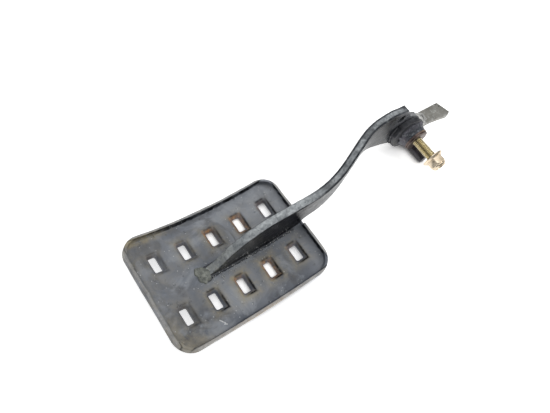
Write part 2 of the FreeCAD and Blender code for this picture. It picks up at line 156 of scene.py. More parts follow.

# Arm enamel, rubbed edge, painted shade in the spring hole and on the near side over the foot plate, and
# dusty tip
ARM_BLACK = (0.006, 0.007, 0.009)
ARM_DARK_GREY = (0.021, 0.025, 0.030)
ARM_RUBBED_DARK = (0.156, 0.172, 0.187)
ARM_RUBBED_LIGHT = (0.598, 0.634, 0.651)
ARM_BLOTCH = (0.134, 0.150, 0.165)
ARM_EDGE_LINE = (0.029, 0.033, 0.039)
ARM_HEAD_FACE = (0.150, 0.155, 0.168)
# Painted shade inside the spring hole
ARM_HOLE_PAINTED_SHADE = (0.004, 0.004, 0.005)
ARM_TIP_TAN = (0.276, 0.276, 0.219)
ARM_SPECK = (0.506, 0.529, 0.529)
ARM_BEND_GREY = (0.050, 0.055, 0.062)
# Painted shade of the arm's near side over the foot plate, standing in for its dark reflection of the plate
ARM_SIDE_PAINTED_SHADE = (0.002, 0.002, 0.005)

# Head plate, pivot tube and their welds
HEAD_PLATE_DARK = (0.020, 0.021, 0.025)
HEAD_PLATE_LIGHT = (0.042, 0.044, 0.052)
HEAD_PLATE_SCUFF = (0.085, 0.088, 0.098)
HEAD_BLUE = (0.032, 0.038, 0.048)
HEAD_PURPLE = (0.099, 0.091, 0.117)
HEAD_SCUFF = (0.278, 0.300, 0.332)
HEAD_PIT = (0.009, 0.009, 0.012)
HEAD_DIRT = (0.229, 0.180, 0.148)
WELD_GLINT = (0.390, 0.403, 0.390)
WELD_PIT = (0.026, 0.026, 0.029)
WELD_PAINT_DARK = (0.030, 0.034, 0.042)
WELD_PAINT_LIGHT = (0.075, 0.082, 0.094)
WELD_TIP_DARK = (0.092, 0.101, 0.093)
WELD_TIP_LIGHT = (0.274, 0.288, 0.254)
WELD_SILVER_DARK = (0.24, 0.24, 0.23)
WELD_SILVER_LIGHT = (0.72, 0.72, 0.70)
SPATTER_DARK = (0.30, 0.31, 0.31)
SPATTER_LIGHT = (0.66, 0.67, 0.66)

# Bare tail lever, bushes and stop pin
BARE_DARK = (0.215, 0.210, 0.186)
BARE_LIGHT = (0.305, 0.296, 0.270)
BARE_GRAIN = (0.406, 0.406, 0.383)
BARE_GLINT = (0.586, 0.598, 0.575)
BARE_SPOT = (0.041, 0.040, 0.036)
BUSH_BROWN = (0.102, 0.068, 0.063)
BUSH_ROSE = (0.203, 0.149, 0.129)
BUSH_TAN = (0.460, 0.330, 0.220)
BUSH_MAROON = (0.068, 0.032, 0.036)
PIN_BLACK = (0.010, 0.007, 0.012)
PIN_GREY = (0.034, 0.027, 0.038)
PIN_GLINT = (0.168, 0.154, 0.161)

# Bolt, nut, washers and sleeve: low, high and film colour
BOLT_COLOURS = ((0.52, 0.45, 0.27), (0.64, 0.57, 0.38), (0.26, 0.20, 0.08))
NUT_COLOURS = ((0.62, 0.51, 0.37), (0.74, 0.64, 0.50), (0.36, 0.27, 0.16))
WASHER_COLOURS = ((0.10, 0.075, 0.068), (0.18, 0.145, 0.13), (0.03, 0.02, 0.02))
SLEEVE_COLOURS = ((0.50, 0.50, 0.49), (0.62, 0.62, 0.61), (0.30, 0.29, 0.27))

# Studio floor
FLOOR_LOW = (0.93, 0.93, 0.93)
FLOOR_HIGH = (0.96, 0.96, 0.96)


# ---------------------------------------------------------------- plate frame

PLATE_MATRIX = Matrix.Translation(PLATE_CENTRE) @ Matrix.Rotation(PLATE_TILT, 4, "Y")
PLATE_INVERSE = PLATE_MATRIX.inverted()


def plate_place(arc, side, height):
    """Point of the pedal's frame from arc length, sideways and height above the tread face."""
    angle = arc / TREAD_RADIUS
    radius = TREAD_RADIUS - height
    return PLATE_MATRIX @ Vector((radius * math.sin(angle), side, TREAD_RADIUS - radius * math.cos(angle)))


def plate_coords(points):
    """Arc length, sideways and height above the tread face of points given as an array."""
    matrix = np.array(PLATE_INVERSE)
    local = points @ matrix[:3, :3].T + matrix[:3, 3]
    down = TREAD_RADIUS - local[:, 2]
    arc = np.arctan2(local[:, 0], down) * TREAD_RADIUS
    height = TREAD_RADIUS - np.hypot(local[:, 0], down)
    return arc, local[:, 1], height


# ---------------------------------------------------------------- mesh tools

def new_object(name, mesh):
    piece = bpy.data.objects.new(name, mesh)
    bpy.context.scene.collection.objects.link(piece)
    return piece


def baked(piece):
    """Applies the modifiers of a piece."""
    bpy.context.view_layer.update()
    graph = bpy.context.evaluated_depsgraph_get()
    mesh = bpy.data.meshes.new_from_object(piece.evaluated_get(graph))
    old = piece.data
    piece.modifiers.clear()
    piece.data = mesh
    bpy.data.meshes.remove(old)
    return piece


def get_points(mesh):
    points = np.empty(len(mesh.vertices) * 3)
    mesh.vertices.foreach_get("co", points)
    return points.reshape(-1, 3)


def set_points(mesh, points):
    mesh.vertices.foreach_set("co", points.ravel())
    mesh.update()


def get_normals(mesh):
    normals = np.empty(len(mesh.vertices) * 3)
    mesh.vertices.foreach_get("normal", normals)
    return normals.reshape(-1, 3)


def set_attributes(mesh, **layers):
    """Writes one number per point under each name, for the materials to read."""
    for name, values in layers.items():
        layer = mesh.attributes.new(name, "FLOAT", "POINT")
        layer.data.foreach_set("value", np.asarray(values, dtype=np.float32))


def smooth_shaded(mesh):
    mesh.polygons.foreach_set("use_smooth", [True] * len(mesh.polygons))
    mesh.update()


def cad_copy(node, name):
    """A new object with the welded mesh of a CAD node."""
    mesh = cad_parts[node].data.copy()
    mesh.materials.clear()
    work = bmesh.new()
    work.from_mesh(mesh)
    bmesh.ops.remove_doubles(work, verts=work.verts, dist=WELD_DISTANCE)
    bmesh.ops.recalc_face_normals(work, faces=work.faces)
    work.to_mesh(mesh)
    work.free()
    mesh.name = name
    return new_object(name, mesh)


def cloud(points, scale, seed):
    """Smooth noise of about -1 to 1 at each point; scale is in cells per metre."""
    offset = Vector((seed * 7.3, seed * 3.1, seed * 5.7))
    return np.array([noise.noise(Vector(point) * scale + offset) for point in points]) * 1.6


def soft_step(values, low, high):
    """Smooth rise from 0 at low to 1 at high."""
    share = np.clip((values - low) / (high - low), 0.0, 1.0)
    return share * share * (3 - 2 * share)


def step_mm(values, low, high):
    """Smooth rise of lengths, between two bounds in millimetres."""
    return soft_step(values, low * MM, high * MM)


def bell_mm(values, centre, width):
    """Bell curve of lengths, 1 at the centre; centre and width in millimetres."""
    return np.exp(-((values - centre * MM) / (width * MM)) ** 2)


def outside_box(x, y, size):
    """Distance beyond a rectangle about the origin, negative inside it."""
    return np.maximum(np.abs(x) - size[0] / 2, np.abs(y) - size[1] / 2)


def remeshed(piece, voxel, rounds):
    """Closed even mesh of a piece, with its edges rounded by smoothing."""
    remesh = piece.modifiers.new("even", "REMESH")
    remesh.mode = "VOXEL"
    remesh.voxel_size = voxel
    remesh.use_smooth_shade = True
    smooth = piece.modifiers.new("soft", "SMOOTH")
    smooth.factor = 0.5
    smooth.iterations = rounds
    return baked(piece)


def roughened(piece, amount, scale, seed):
    """Moves each point along its normal by smooth noise."""
    mesh = piece.data
    points = get_points(mesh)
    shift = cloud(points, scale, seed) * amount
    set_points(mesh, points + get_normals(mesh) * shift[:, None])


def add_bevel(piece, width, segments):
    bevel = piece.modifiers.new("edges", "BEVEL")
    bevel.width = width
    bevel.segments = segments
    bevel.limit_method = "ANGLE"
    bevel.angle_limit = SHARP_ANGLE
    return bevel


def crisp(node, name, width, segments=2):
    """A CAD node's shape with its sharp edges rounded by a real bevel."""
    piece = cad_copy(node, name)
    work = bmesh.new()
    work.from_mesh(piece.data)
    bmesh.ops.dissolve_limit(work, angle_limit=FLAT_ANGLE, verts=work.verts, edges=work.edges)
    work.to_mesh(piece.data)
    work.free()
    add_bevel(piece, width, segments).harden_normals = True
    smooth_shaded(piece.data)
    return baked(piece)


def finish_piece(piece, body, slot, material, *nodes):
    """Keeps a piece inside the CAD model's box, paints it and puts it on its body."""
    set_points(piece.data, np.clip(get_points(piece.data), *CAD_BOX))
    piece.data.materials.clear()
    piece.data.materials.append(material)
    smooth_shaded(piece.data)
    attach(piece, body)
    if nodes:
        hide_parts(*nodes)


# ---------------------------------------------------------------- materials

class Shader:
    """Short-hand for building a node material."""

    SURFACE = {"color": "Base Color", "rough": "Roughness", "metal": "Metallic", "normal": "Normal",
               "spec": "Specular IOR Level"}
    # Places of the colour sockets of the mix node
    MIX_FACTOR, MIX_A, MIX_B, MIX_RESULT = 0, 6, 7, 2

    def __init__(self, name):
        self.material = bpy.data.materials.new(name)
        self.material.use_nodes = True
        self.tree = self.material.node_tree
        self.surface = self.tree.nodes["Principled BSDF"]
        self.place = self.tree.nodes.new("ShaderNodeTexCoord").outputs["Object"]

    def put(self, socket, value):
        """Links a socket or sets its value; three numbers become an opaque colour."""
        if isinstance(value, bpy.types.NodeSocket):
            self.tree.links.new(value, socket)
        elif socket.type == "RGBA":
            socket.default_value = (*value, 1.0)
        else:
            socket.default_value = value

    def node(self, kind, inputs=None, **settings):
        made = self.tree.nodes.new(kind)
        for key, value in settings.items():
            setattr(made, key, value)
        for key, value in (inputs or {}).items():
            self.put(made.inputs[key], value)
        return made

    def noise(self, scale, detail, roughness, distortion=0.0, vector=None):
        inputs = {"Vector": vector or self.place, "Scale": scale, "Detail": detail, "Roughness": roughness,
                  "Distortion": distortion}
        return self.node("ShaderNodeTexNoise", inputs).outputs["Fac"]

    def grain(self, scale, turn=(0.0, 0.0, 0.0), detail=2, roughness=0.5):
        """Noise scaled unevenly along the axes, for turning marks and scratches."""
        mapping = self.node("ShaderNodeMapping", {"Vector": self.place, "Scale": scale, "Rotation": turn})
        return self.noise(1.0, detail, roughness, vector=mapping.outputs[0])

    def band(self, value, low, high, out_low=0.0, out_high=1.0):
        """Stretches a value from low..high to out_low..out_high, clamped."""
        inputs = {"Value": value, "From Min": low, "From Max": high, "To Min": out_low, "To Max": out_high}
        return self.node("ShaderNodeMapRange", inputs).outputs["Result"]

    def patches(self, noise, low, high, out_low=0.0, out_high=1.0):
        """Band of a noise given by its scale, detail, roughness and distortion."""
        return self.band(self.noise(*noise), low, high, out_low, out_high)

    def broken(self, name, noise, low, high, out_low=0.0, out_high=1.0):
        """Vertex attribute broken up by patches of noise."""
        return self.times(self.attribute(name), self.patches(noise, low, high, out_low, out_high), True)

    def roughness(self, noise, low, high):
        return self.patches(noise, 0.3, 0.7, low, high)

    def specks(self, scale, outer, inner, where):
        """Small round specks, fading from the inner to the outer radius of a cell, in the places given."""
        cells = self.node("ShaderNodeTexVoronoi", {"Vector": self.place, "Scale": scale}).outputs["Distance"]
        return self.times(self.band(cells, outer, inner), where, True)

    def openness(self, reach):
        """Share of the sky that is open within reach."""
        made = self.node("ShaderNodeAmbientOcclusion", {"Distance": reach}, samples=OCCLUSION_SAMPLES)
        return made.outputs["AO"]

    def math(self, operation, a, b, clamp):
        made = self.node("ShaderNodeMath", operation=operation, use_clamp=clamp)
        self.put(made.inputs[0], a)
        self.put(made.inputs[1], b)
        return made.outputs[0]

    def times(self, a, b, clamp=False):
        return self.math("MULTIPLY", a, b, clamp)

    def plus(self, a, b, clamp=False):
        return self.math("ADD", a, b, clamp)

    def minus(self, a, b, clamp=False):
        return self.math("SUBTRACT", a, b, clamp)

    def larger(self, a, b):
        return self.math("MAXIMUM", a, b, False)

    def attribute(self, name):
        return self.node("ShaderNodeAttribute", attribute_name=name).outputs["Fac"]

    def mix(self, factor, a, b):
        made = self.node("ShaderNodeMix", data_type="RGBA")
        self.put(made.inputs[self.MIX_FACTOR], factor)
        self.put(made.inputs[self.MIX_A], a)
        self.put(made.inputs[self.MIX_B], b)
        return made.outputs[self.MIX_RESULT]

    def bump(self, height, strength, distance):
        inputs = {"Height": height, "Strength": strength, "Distance": distance}
        return self.node("ShaderNodeBump", inputs).outputs[0]

    def set(self, **values):
        for key, value in values.items():
            self.put(self.surface.inputs[self.SURFACE[key]], value)
        return self.material


def plate_material():
    """Worn blue-grey enamel with dust and rust round the slots, painted light over the plate, painted shade
    at the slot funnels and on the rim's inner wall, and a light rubbed rim with a painted highlight.
    """
    s = Shader("plate_enamel")
    blue = s.mix(s.patches((28, 3, 0.55), 0.40, 0.60), PLATE_DEEP_BLUE, PLATE_PALE_BLUE)
    blue = s.mix(s.broken("back", (46, 4, 0.62, 0.8), 0.48, 0.62, 0.0, 0.55), blue, PLATE_CLOUD)
    blue = s.mix(s.patches((34, 4, 0.6, 1.2), 0.50, 0.62, 0.0, 0.9), blue, PLATE_GLOOM)
    # Painted light over the plate's middle and far side and on the funnel walls
    blue = s.mix(s.broken("haze", (60, 4, 0.6), 0.25, 0.75, 0.55, 1.0), blue, PLATE_PAINTED_LIGHT)
    warm = s.mix(s.patches((75, 5, 0.65, 0.6), 0.36, 0.64), PLATE_DUST_DARK, PLATE_DUST_LIGHT)
    dust = s.broken("dust", (110, 6, 0.7, 0.4), 0.32, 0.68)
    color = s.mix(dust, blue, warm)
    color = s.mix(s.broken("tan", (190, 5, 0.7), 0.34, 0.56), color, PLATE_TAN)
    streak = s.grain((55, 420, 55), (0, 0, 0.5), 3, 0.6)
    color = s.mix(s.band(streak, 0.66, 0.74, 0.0, 0.28), color, PLATE_STREAK)
    color = s.mix(s.patches((240, 4, 0.7), 0.60, 0.74, 0.0, 0.65), color, PLATE_DARK_SPOT)
    rust_mask = s.broken("rust", (300, 5, 0.75), 0.36, 0.60)
    rust = s.mix(s.patches((700, 3, 0.6), 0.35, 0.65), RUST_BROWN, RUST_ORANGE)
    color = s.mix(rust_mask, color, rust)
    # Rubbed rim top, lightened also as a painted highlight
    color = s.mix(s.broken("rim", (230, 4, 0.7), 0.34, 0.60, 0.35, 1.0), color, RIM_RUBBED_AND_PAINTED_HIGHLIGHT)
    # Painted shade on the rim's inner wall
    groove = s.broken("groove", (150, 3, 0.6), 0.25, 0.55, 0.45, 1.0)
    color = s.mix(groove, color, RIM_WALL_PAINTED_SHADE)
    specks = s.specks(430, 0.15, 0.08, s.patches((120, 3, 0.6), 0.50, 0.55))
    color = s.mix(specks, color, PLATE_SPECK)
    # Painted shade along the funnel edges and round the weld blob
    lip = s.broken("lip", (420, 3, 0.6), 0.30, 0.50, 0.55, 1.0)
    color = s.mix(lip, color, SLOT_EDGE_PAINTED_SHADE)
    color = s.mix(s.attribute("scratch"), color, SCRATCH_BRIGHT)
    rough = s.roughness((120, 4, 0.6), 0.30, 0.52)
    rough = s.plus(rough, s.times(s.larger(dust, rust_mask), 0.28), True)
    height = s.plus(s.times(s.noise(650, 3, 0.6), 0.5), s.times(s.noise(180, 3, 0.5), 1.2))
    height = s.plus(height, s.times(rust_mask, 0.6))
    shine = s.band(s.larger(lip, groove), 0.0, 1.0, 0.55, 0.08)
    return s.set(color=color, rough=rough, spec=shine, normal=s.bump(height, 0.35, 0.00016))


def arm_material():
    """Dark enamel, rubbed to a scuffed silver-grey on the bar's upper edge, with painted shade in the spring
    hole and on the near side over the foot plate.
    """
    s = Shader("arm_enamel")
    base = s.mix(s.patches((40, 3, 0.55), 0.36, 0.64), ARM_BLACK, ARM_DARK_GREY)
    worn = s.mix(s.patches((300, 5, 0.75, 0.5), 0.35, 0.66), ARM_RUBBED_DARK, ARM_RUBBED_LIGHT)
    worn = s.mix(s.patches((70, 3, 0.6), 0.46, 0.66, 0.0, 0.6), worn, ARM_BLOTCH)
    top = s.attribute("top")
    color = s.mix(top, base, worn)
    line = s.broken("edge_line", (200, 3, 0.6), 0.25, 0.50, 0.55, 1.0)
    color = s.mix(line, color, ARM_EDGE_LINE)
    color = s.mix(s.times(s.attribute("dim"), 0.7), color, ARM_HEAD_FACE)
    # Painted shade inside the spring hole
    color = s.mix(s.attribute("hole"), color, ARM_HOLE_PAINTED_SHADE)
    color = s.mix(s.broken("tan", (150, 5, 0.7), 0.40, 0.62), color, ARM_TIP_TAN)
    specks = s.specks(520, 0.17, 0.11, s.patches((150, 2, 0.5), 0.58, 0.62))
    color = s.mix(specks, color, ARM_SPECK)
    bare = s.patches((95, 4, 0.65), 0.44, 0.56, 0.72, 0.10)
    color = s.mix(s.times(s.attribute("bend"), bare), color, ARM_BEND_GREY)
    # Painted shade of the near side over the foot plate, standing in for its dark reflection of the plate
    shade = s.times(s.attribute("shade"), s.minus(1.0, top, True), True)
    color = s.mix(s.times(shade, 0.8), color, ARM_SIDE_PAINTED_SHADE)
    rough = s.plus(s.roughness((160, 4, 0.6), 0.22, 0.40), s.times(top, 0.14), True)
    rough = s.plus(rough, s.times(line, 0.25), True)
    height = s.plus(s.times(s.noise(600, 3, 0.6), 0.6), s.times(s.grain((900, 900, 60)), 0.7))
    shine = s.band(s.larger(line, shade), 0.0, 1.0, 0.42, 0.08)
    return s.set(color=color, rough=rough, spec=shine, normal=s.bump(height, 0.35, 0.00012))


def head_plate_material():
    """Smooth near-black enamel of the head plate."""
    s = Shader("head_plate_enamel")
    color = s.mix(s.patches((150, 3, 0.6), 0.38, 0.62), HEAD_PLATE_DARK, HEAD_PLATE_LIGHT)
    color = s.mix(s.patches((380, 4, 0.7), 0.62, 0.72, 0.0, 0.6), color, HEAD_PLATE_SCUFF)
    height = s.plus(s.noise(260, 3, 0.6), s.times(s.noise(900, 2, 0.5), 0.3))
    return s.set(color=color, rough=s.roughness((200, 3, 0.6), 0.36, 0.55), spec=0.35,
                 normal=s.bump(height, 0.4, 0.00015))


def head_material():
    """Rough dark enamel over weld spatter, bluish to purple."""
    s = Shader("head_enamel")
    color = s.mix(s.patches((130, 3, 0.6), 0.38, 0.62), HEAD_BLUE, HEAD_PURPLE)
    color = s.mix(s.patches((420, 5, 0.75, 0.4), 0.52, 0.72, 0.0, 0.8), color, HEAD_SCUFF)
    color = s.mix(s.patches((300, 4, 0.7), 0.62, 0.74, 0.0, 0.6), color, HEAD_PIT)
    color = s.mix(s.patches((95, 4, 0.7), 0.60, 0.72, 0.0, 0.5), color, HEAD_DIRT)
    rough = s.roughness((260, 4, 0.6), 0.34, 0.60)
    height = s.plus(s.noise(520, 5, 0.7), s.times(s.noise(1500, 2, 0.5), 0.35))
    return s.set(color=color, rough=rough, spec=0.55, normal=s.bump(height, 0.8, 0.00045))


def weld_material(name, low, high, rough_low, metal):
    """Weld bead between two tones, with glints and pits."""
    s = Shader(name)
    color = s.mix(s.patches((260, 5, 0.7), 0.35, 0.65), low, high)
    color = s.mix(s.patches((620, 4, 0.75), 0.60, 0.70, 0.0, 0.8), color, WELD_GLINT)
    color = s.mix(s.patches((430, 4, 0.7, 0.3), 0.60, 0.70, 0.0, 0.9), color, WELD_PIT)
    height = s.plus(s.noise(700, 4, 0.7), s.times(s.noise(1800, 2, 0.5), 0.4))
    return s.set(color=color, rough=s.roughness((300, 3, 0.6), rough_low, rough_low + 0.25),
                 metal=metal, spec=0.5, normal=s.bump(height, 0.6, 0.00022))


def bare_material():
    """Bare bar steel, dull warm grey."""
    s = Shader("bare_bar")
    grain = s.grain((70, 900, 900), (0, 0, -0.05), 3, 0.6)
    color = s.mix(s.patches((90, 4, 0.6), 0.35, 0.65), BARE_DARK, BARE_LIGHT)
    color = s.mix(s.band(grain, 0.4, 0.65, 0.0, 0.35), color, BARE_GRAIN)
    color = s.mix(s.patches((260, 5, 0.75, 0.5), 0.54, 0.66, 0.0, 0.75), color, BARE_GLINT)
    color = s.mix(s.attribute("spots"), color, BARE_SPOT)
    height = s.plus(s.times(grain, 0.5), s.noise(420, 4, 0.6))
    return s.set(color=color, rough=s.roughness((200, 3, 0.6), 0.38, 0.58), metal=0.35, spec=0.5,
                 normal=s.bump(height, 0.4, 0.00012))


def plated_material(name, low, high, dark, rough_low, brush, film=0.75):
    """Zinc-plated fastener: base tone, darker film, fine turning marks across the axis."""
    s = Shader(name)
    color = s.mix(s.patches((220, 4, 0.6), 0.35, 0.65), low, high)
    color = s.mix(s.patches((480, 5, 0.75), 0.57, 0.72, 0.0, film), color, dark)
    turned = s.grain((120, 2600, 120))
    height = s.plus(s.times(turned, brush), s.times(s.noise(800, 3, 0.6), 0.5))
    return s.set(color=color, rough=s.roughness((350, 3, 0.6), rough_low, rough_low + 0.2), metal=1.0,
                 normal=s.bump(height, 0.25, 0.00004))


def bush_material():
    """Oily bearing metal, brown to maroon, with a tan side."""
    s = Shader("bush_film")
    color = s.mix(s.patches((200, 4, 0.65), 0.36, 0.64), BUSH_BROWN, BUSH_ROSE)
    color = s.mix(s.broken("tan", (240, 4, 0.6), 0.25, 0.6), color, BUSH_TAN)
    rings = s.grain((60, 1900, 60))
    color = s.mix(s.band(rings, 0.55, 0.68, 0.0, 0.7), color, BUSH_MAROON)
    height = s.plus(rings, s.times(s.noise(700, 3, 0.6), 0.5))
    return s.set(color=color, rough=s.roughness((300, 3, 0.6), 0.34, 0.6), metal=0.4,
                 normal=s.bump(height, 0.4, 0.00015))


def pin_material():
    """Dark oily film of the stop pin."""
    s = Shader("pin_film")
    color = s.mix(s.patches((170, 4, 0.6), 0.36, 0.64), PIN_BLACK, PIN_GREY)
    color = s.mix(s.patches((600, 4, 0.7), 0.66, 0.74, 0.0, 0.8), color, PIN_GLINT)
    height = s.plus(s.noise(500, 4, 0.7), s.grain((150, 1500, 150)))
    return s.set(color=color, rough=s.roughness((260, 3, 0.6), 0.30, 0.52), spec=0.6,
                 normal=s.bump(height, 0.45, 0.00014))


def spatter_material():
    """Bright beads of weld metal."""
    s = Shader("spatter_metal")
    color = s.mix(s.patches((900, 2, 0.6), 0.35, 0.65), SPATTER_DARK, SPATTER_LIGHT)
    return s.set(color=color, rough=s.roughness((700, 3, 0.6), 0.32, 0.5), metal=0.3)


def floor_material():
    """White floor that glows a little, except in the close shade under the pedal."""
    s = Shader("studio_floor")
    tone = s.mix(s.patches((6, 2, 0.5), 0.3, 0.7), FLOOR_LOW, FLOOR_HIGH)
    s.put(s.surface.inputs["Emission Color"], (1.0, 1.0, 1.0))
    contact = s.band(s.openness(CONTACT_REACH), 0.32, 0.78, 0.03, 0.68)
    wide = s.band(s.openness(SHADE_REACH), 0.20, 0.75, 0.80, 1.0)
    s.put(s.surface.inputs["Emission Strength"], s.times(contact, wide))
    return s.set(color=tone, rough=0.9, spec=0.0)


# ---------------------------------------------------------------- foot plate

# Strength of the rust, tan dust and painted shade at the funnel edge of single slots, by (row, column); the
# rest have little
RUSTED_SLOTS = {(1, 1): 0.2, (1, 2): 1.0, (1, 3): 0.8, (1, 4): 0.25,
                (-1, 2): 0.65, (-1, 3): 0.8, (-1, 4): 0.3}
DUSTY_SLOTS = {(1, 1): 0.5, (1, 2): 0.6, (1, 3): 0.5, (-1, 1): 0.6, (-1, 2): 1.0, (-1, 3): 0.9, (-1, 4): 0.6}
SLOT_EDGE_SHADES = {(1, 2): 0.8, (1, 3): 0.9, (1, 4): 1.0, (-1, 1): 1.0, (-1, 2): 1.0, (-1, 3): 1.0, (-1, 4): 1.0}
OTHER_RUST, OTHER_DUST, OTHER_EDGE_SHADE = 0.08, 0.2, 0.5
EVEN_RUST_COLUMN = 3

# Bright scratches: both ends along and across the plate, and a width, in millimetres
SCRATCHES = (((-27, -30.5), (-24.5, -34.0), 0.2), ((-25.5, -34.2), (-24.0, -35.0), 0.22))


def slot_centres():
    return [((column - 2) * SLOT_PITCH + SLOT_SHIFT[0], row * SLOT_ROWS / 2 + SLOT_SHIFT[1], column, row)
            for row in (-1, 1) for column in range(5)]


def uneven_plate(points, normals, arc, side, height):
    """The plate's points with a wavy sheet and a dented left end, none below the table."""
    inside_rim = step_mm(height, 2.6, 5.0)
    shift = cloud(points, 45, 1) * 0.10 * MM + cloud(points, 160, 2) * 0.05 * MM
    shift += inside_rim * cloud(points, 110, 3) * 0.10 * MM
    moved = points + normals * shift[:, None]
    dent = bell_mm(side, 2.5, 3.2) * step_mm(-arc, 56, 59.5) * inside_rim
    moved[:, 2] -= dent * 0.5 * MM
    moved[:, 0] += dent * 0.3 * MM
    moved[:, 2] = np.maximum(moved[:, 2], TABLE_Z)
    return moved


def slot_marks(arc, side):
    """Rust and tan dust of the slots, painted shade along the funnels' low right edges and far ends, and
    painted light on the other funnel walls.
    """
    rust, tan, lip, wall_light = (np.zeros(len(arc)) for _ in range(4))
    for centre, row_side, column, row in slot_centres():
        x = arc - centre
        y = side - row_side
        slot = (row, column)
        gap = outside_box(x, y, SLOT_SIZE)
        ring = step_mm(gap, -0.6, 0.2) * (1 - step_mm(gap, 1.2, 2.8))
        lean = np.maximum(step_mm(y * 0.6 - x, -1.0, 5.0), 0.7 if column == EVEN_RUST_COLUMN else 0)
        rust = np.maximum(rust, ring * (0.15 + 0.85 * lean) * RUSTED_SLOTS.get(slot, OTHER_RUST))
        tan = np.maximum(tan, bell_mm(np.maximum(gap, 0), 0, 5.0) * DUSTY_SLOTS.get(slot, OTHER_DUST))
        edge = outside_box(x, y, FUNNEL_SIZE)
        low_right = step_mm(x - 0.5 * y, -0.5, 5.0)
        cap = step_mm(y, 4.0, 6.5) * (1 - step_mm(np.abs(x), 2.0, 4.5))
        # Painted shade on the funnel's low right edge and far end
        ridge = bell_mm(edge, -0.3, 0.9) * SLOT_EDGE_SHADES.get(slot, OTHER_EDGE_SHADE)
        lip = np.maximum(lip, ridge * np.maximum(low_right, 0.7 * cap))
        wall_light = np.maximum(wall_light, step_mm(-edge, 0.3, 1.2) * (1 - low_right))
    return rust, tan, lip, wall_light


def scratch_marks(arc, side):
    scratch = np.zeros(len(arc))
    for start, end, width in SCRATCHES:
        start = np.array(start) * MM
        along = np.array(end) * MM - start
        place = np.stack([arc, side], 1) - start
        share = np.clip(place @ along / (along @ along), 0, 1)
        away = np.linalg.norm(place - share[:, None] * along, axis=1)
        scratch = np.maximum(scratch, 1 - step_mm(away, width * 0.5, width * 1.4))
    return scratch


def make_foot_plate():
    """Pressed plate with its dust, painted light, rust, painted shade at the slot funnels, rubbed rim with a
    painted highlight and painted shade in the rim's inner corner.
    """
    piece = remeshed(cad_copy("foot_plate", "foot_plate_pressing"), 0.4 * MM, 1)
    mesh = piece.data
    points = get_points(mesh)
    arc, side, height = plate_coords(points)
    points = uneven_plate(points, get_normals(mesh), arc, side, height)
    set_points(mesh, points)

    near_edge = outside_box(arc, side, (PLATE_LENGTH, PLATE_WIDTH))
    upper = step_mm(height, 0.5, 1.6)
    rust, tan, lip, wall_light = slot_marks(arc, side)

    left_end = step_mm(-arc, 18, 58)
    border = step_mm(near_edge, -9, -1.5)
    corner = step_mm(-arc - side, 58, 96)
    dust = np.clip(0.15 + 0.65 * left_end + 0.3 * border * left_end + 0.5 * corner, 0, 1)

    # Painted light: lighter over the far side and middle of the plate and on the funnel walls
    haze = step_mm(side, -30, 8) * (0.5 + 0.4 * step_mm(arc, 10, 50))
    haze = np.maximum(haze, 1.1 * bell_mm(arc, -6, 26) * bell_mm(side, -12, 16))
    haze = np.maximum(haze, wall_light * 1.3)

    near_rim = step_mm(-side - PLATE_WIDTH / 2, -1.7, -1.1) * step_mm(height, 1, 3) * bell_mm(arc, -2, 27)
    rust = np.maximum(rust, near_rim * 0.6)
    far_corner = step_mm(-arc, 8, 46) * step_mm(side - PLATE_WIDTH / 2, -7, -3)
    far_corner *= 1 - step_mm(near_edge, -1.6, -1.0)
    low_corner = step_mm(-arc - side, 66, 92)
    for film in (near_rim, 0.9 * far_corner, 0.45 * low_corner):
        tan = np.maximum(tan, film)

    # Painted shade round the near side of the weld blob's foot
    blob_edge = bell_mm(np.hypot(arc - BLOB_ARC, side), 5.7, 0.7) * step_mm(-side, -3, 4)
    lip = np.maximum(lip, 0.7 * blob_edge)

    # Rubbed rim top, lightened also as a painted highlight
    rim = step_mm(height - RIM_HEIGHT, -1.6, -0.8) * step_mm(near_edge, -1.7, -1.3)
    inner_part = 1 - step_mm(near_edge, -1.1, -0.7)
    rim *= 1 - step_mm(-arc, 50, 57) * (0.35 + 0.5 * inner_part)

    # Painted shade along the inner wall of the rim
    ragged = cloud(points, 330, 5) * 0.35 * MM
    groove = step_mm(near_edge + SHEET + ragged, -0.7, 0.0) * (1 - step_mm(near_edge, -1.9, -1.5))
    groove *= step_mm(height, 1.4, 2.0) * (1 - 0.2 * step_mm(-arc, 48, 57))
    far_left = step_mm(-arc, 16, 44) * step_mm(side, 10, 30)
    groove *= 1 - far_left * (1 - step_mm(height, 4.6, 5.4))

    set_attributes(mesh, dust=dust, back=upper, haze=haze * 0.7 * upper, rust=rust,
                   lip=lip * step_mm(height, 0.2, 0.9), tan=tan * upper, rim=rim, groove=groove,
                   scratch=scratch_marks(arc, side) * step_mm(height, 1, 1.8))
    finish_piece(piece, PEDAL, "frame_paint", plate_material(), "foot_plate")


# ---------------------------------------------------------------- arm

def arm_across(points):
    """How far each point is from the middle of the bar's thickness, following the S-bend."""
    x = points[:, 0] - BEND_START_X
    sine = math.sin(BEND_ANGLE)
    drop = 1 - math.cos(BEND_ANGLE)
    slant = (HEAD_Y - ARM_Y - (BEND_RADIUS_1 + BEND_RADIUS_2) * drop) / sine
    first = BEND_RADIUS_1 * sine
    second = first + slant * math.cos(BEND_ANGLE)
    last = second + BEND_RADIUS_2 * sine
    turn = np.where(x < first, np.arcsin(np.clip(x / BEND_RADIUS_1, 0, sine)),
                    np.arcsin(np.clip((last - x) / BEND_RADIUS_2, 0, sine)))
    start = ARM_Y + BEND_RADIUS_1 * (1 - np.cos(turn))
    middle = ARM_Y + BEND_RADIUS_1 * drop + (x - first) * math.tan(BEND_ANGLE)
    end = HEAD_Y - BEND_RADIUS_2 * (1 - np.cos(turn))
    centre = np.where(x < first, start, np.where(x < second, middle, end))
    return (points[:, 1] - centre) * np.cos(turn)


